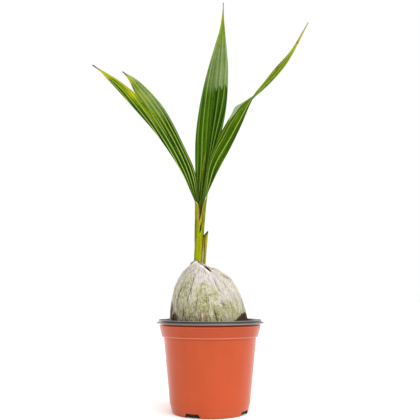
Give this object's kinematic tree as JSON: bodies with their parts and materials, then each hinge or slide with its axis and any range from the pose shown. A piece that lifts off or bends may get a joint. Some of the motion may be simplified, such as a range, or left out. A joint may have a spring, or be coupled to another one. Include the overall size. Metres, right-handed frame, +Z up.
{
  "type": "potted coconut palm seedling",
  "caption": "Young dwarf coconut palm sprouting from its husked nut, with pleated green leaves, growing in a tapered two-tone nursery pot filled with soil.",
  "frame": {"origin": "centre of the pot's flat underside", "axes": "+Z up along the pot's axis to the leaf tips, +X to the plant's right seen from the front, -Y towards the front"},
  "size_m": [0.4604, 0.21, 0.8683],
  "materials": {
    "pot_plastic": "satin terracotta plastic with a black-grey lip",
    "soil": "crumbly bark and fibre potting mix",
    "husk_fibre": "weathered grey fibrous husk with green algae",
    "green_sheath": "smooth yellow-green",
    "dry_scale": "yellow-green with dry brown edges",
    "green_leaf": "pleated, satin green"
  },
  "bodies": {
    "root": {"pot": "pot_plastic", "potting_soil": "soil", "husk": "husk_fibre", "stem": "green_sheath", "sheath_left": "green_sheath", "sheath_right": "green_sheath", "scale_leaf": "dry_scale", "leaf_left": "green_leaf", "leaf_middle": "green_leaf", "leaf_right": "green_leaf"}
  },
  "joints": []
}
